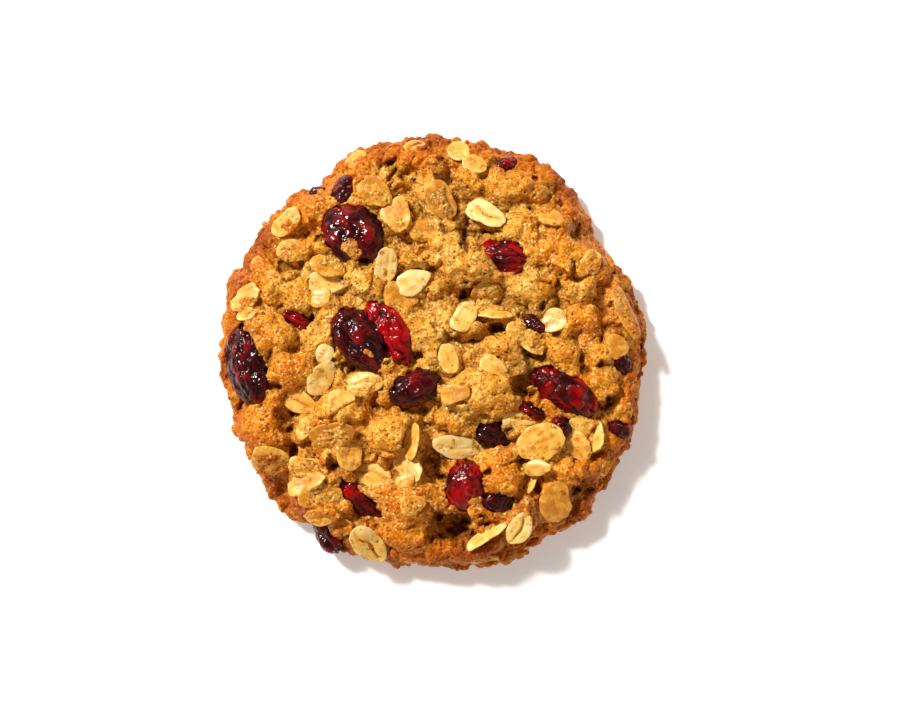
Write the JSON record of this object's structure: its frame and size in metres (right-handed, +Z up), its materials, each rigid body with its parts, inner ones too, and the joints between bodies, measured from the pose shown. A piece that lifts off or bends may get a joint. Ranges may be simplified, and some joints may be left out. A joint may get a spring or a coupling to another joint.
{
  "type": "oatmeal cranberry cookie",
  "caption": "Round craggy oatmeal cookie with rolled-oat flakes baked into its golden crust and dried cranberries set in its top; a baked sweet to eat from the hand.",
  "frame": {"origin": "middle of the flat underside, at the centre of the plan outline", "axes": "+Z up through the crown, +Y towards the top of the plan view, +X to its right"},
  "size_m": [0.0854, 0.0866, 0.0152],
  "materials": {
    "baked_dough": "dry golden-brown crumb with a slight buttery sheen",
    "oat_flake": "pale satin rolled oat",
    "cranberry_red": "glossy wrinkled red skin",
    "cranberry_dark": "glossy wrinkled maroon skin"
  },
  "bodies": {
    "root": {"dough": "baked_dough", "cranberry_01": "cranberry_dark", "cranberry_02": "cranberry_dark", "cranberry_03": "cranberry_dark", "cranberry_04": "cranberry_red", "cranberry_05": "cranberry_red", "cranberry_06": "cranberry_dark", "cranberry_07": "cranberry_red", "cranberry_08": "cranberry_dark", "cranberry_09": "cranberry_red", "cranberry_10": "cranberry_dark", "cranberry_11": "cranberry_red", "cranberry_12": "cranberry_red", "cranberry_13": "cranberry_dark", "cranberry_14": "cranberry_dark", "cranberry_15": "cranberry_red", "cranberry_16": "cranberry_dark", "cranberry_17": "cranberry_red", "cranberry_18": "cranberry_dark", "cranberry_19": "cranberry_dark", "cranberry_20": "cranberry_dark", "cranberry_21": "cranberry_dark"}
  },
  "joints": []
}
